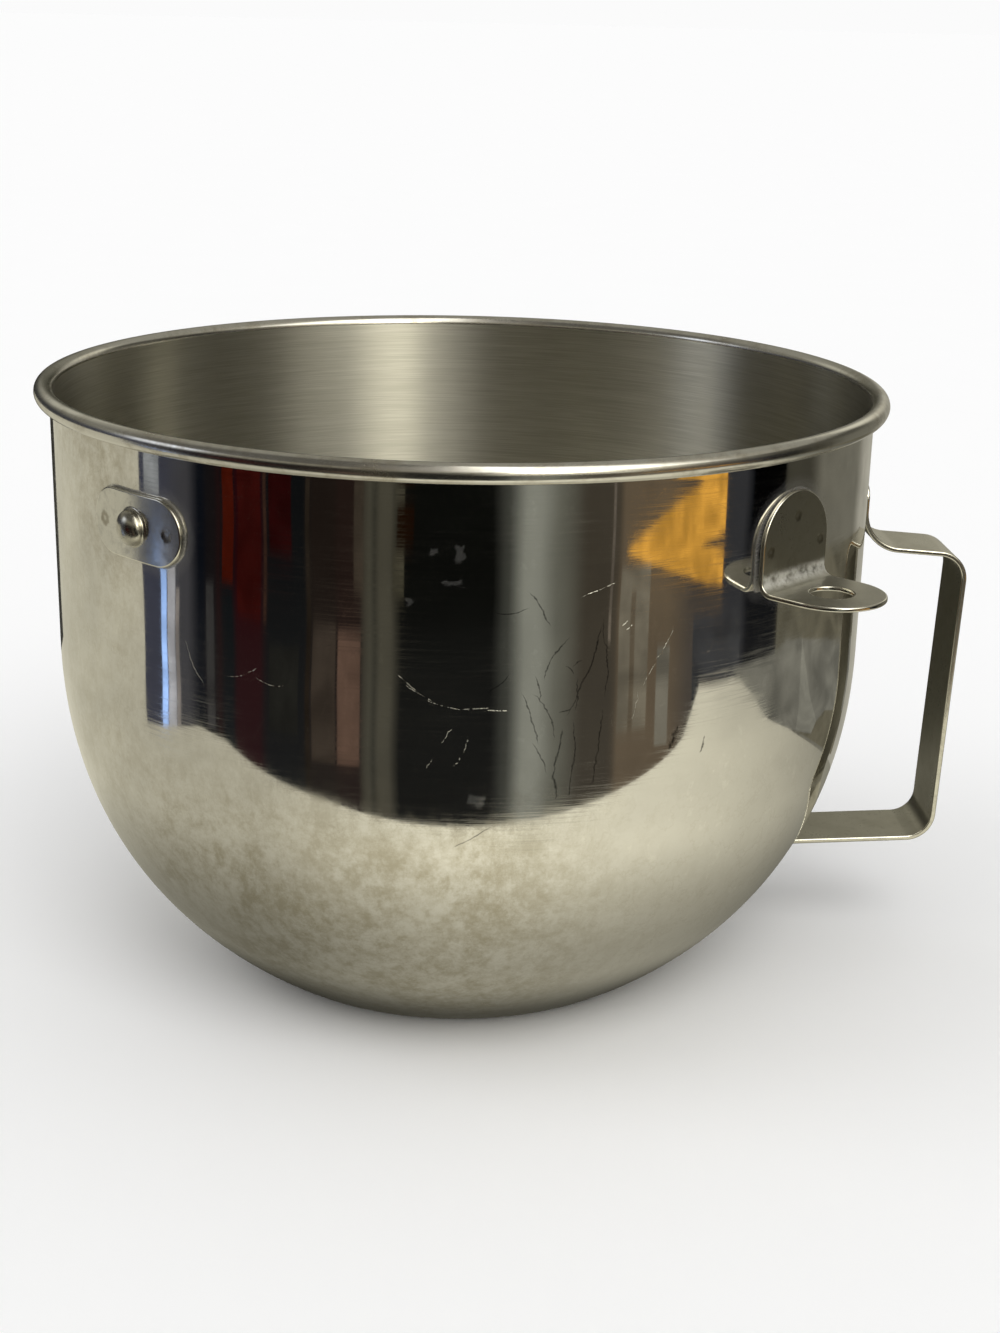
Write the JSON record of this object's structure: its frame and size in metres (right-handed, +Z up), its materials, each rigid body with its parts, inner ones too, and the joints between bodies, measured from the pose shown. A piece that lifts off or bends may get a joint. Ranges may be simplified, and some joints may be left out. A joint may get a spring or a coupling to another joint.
{
  "type": "stand mixer bowl",
  "caption": "Polished steel mixing bowl for a bowl-lift stand mixer, with two holed ear brackets, a latch pin and a flat strap handle.",
  "frame": {"origin": "centre of the bowl's base, on the surface that it stands on", "axes": "+Z up through the mouth; the ear brackets on +X and -X; the latch plate and pin on -Y; the handle between +X and +Y"},
  "size_m": [0.2686, 0.2276, 0.1615],
  "materials": {
    "polished_steel": "mirror polished outside, brushed inside",
    "fitting_steel": "satin"
  },
  "bodies": {
    "root": {"bowl_shell": "polished_steel", "ear_bracket_right": "fitting_steel", "ear_bracket_left": "fitting_steel", "latch_plate": "polished_steel", "latch_pin": "polished_steel", "handle": "fitting_steel"}
  },
  "joints": []
}
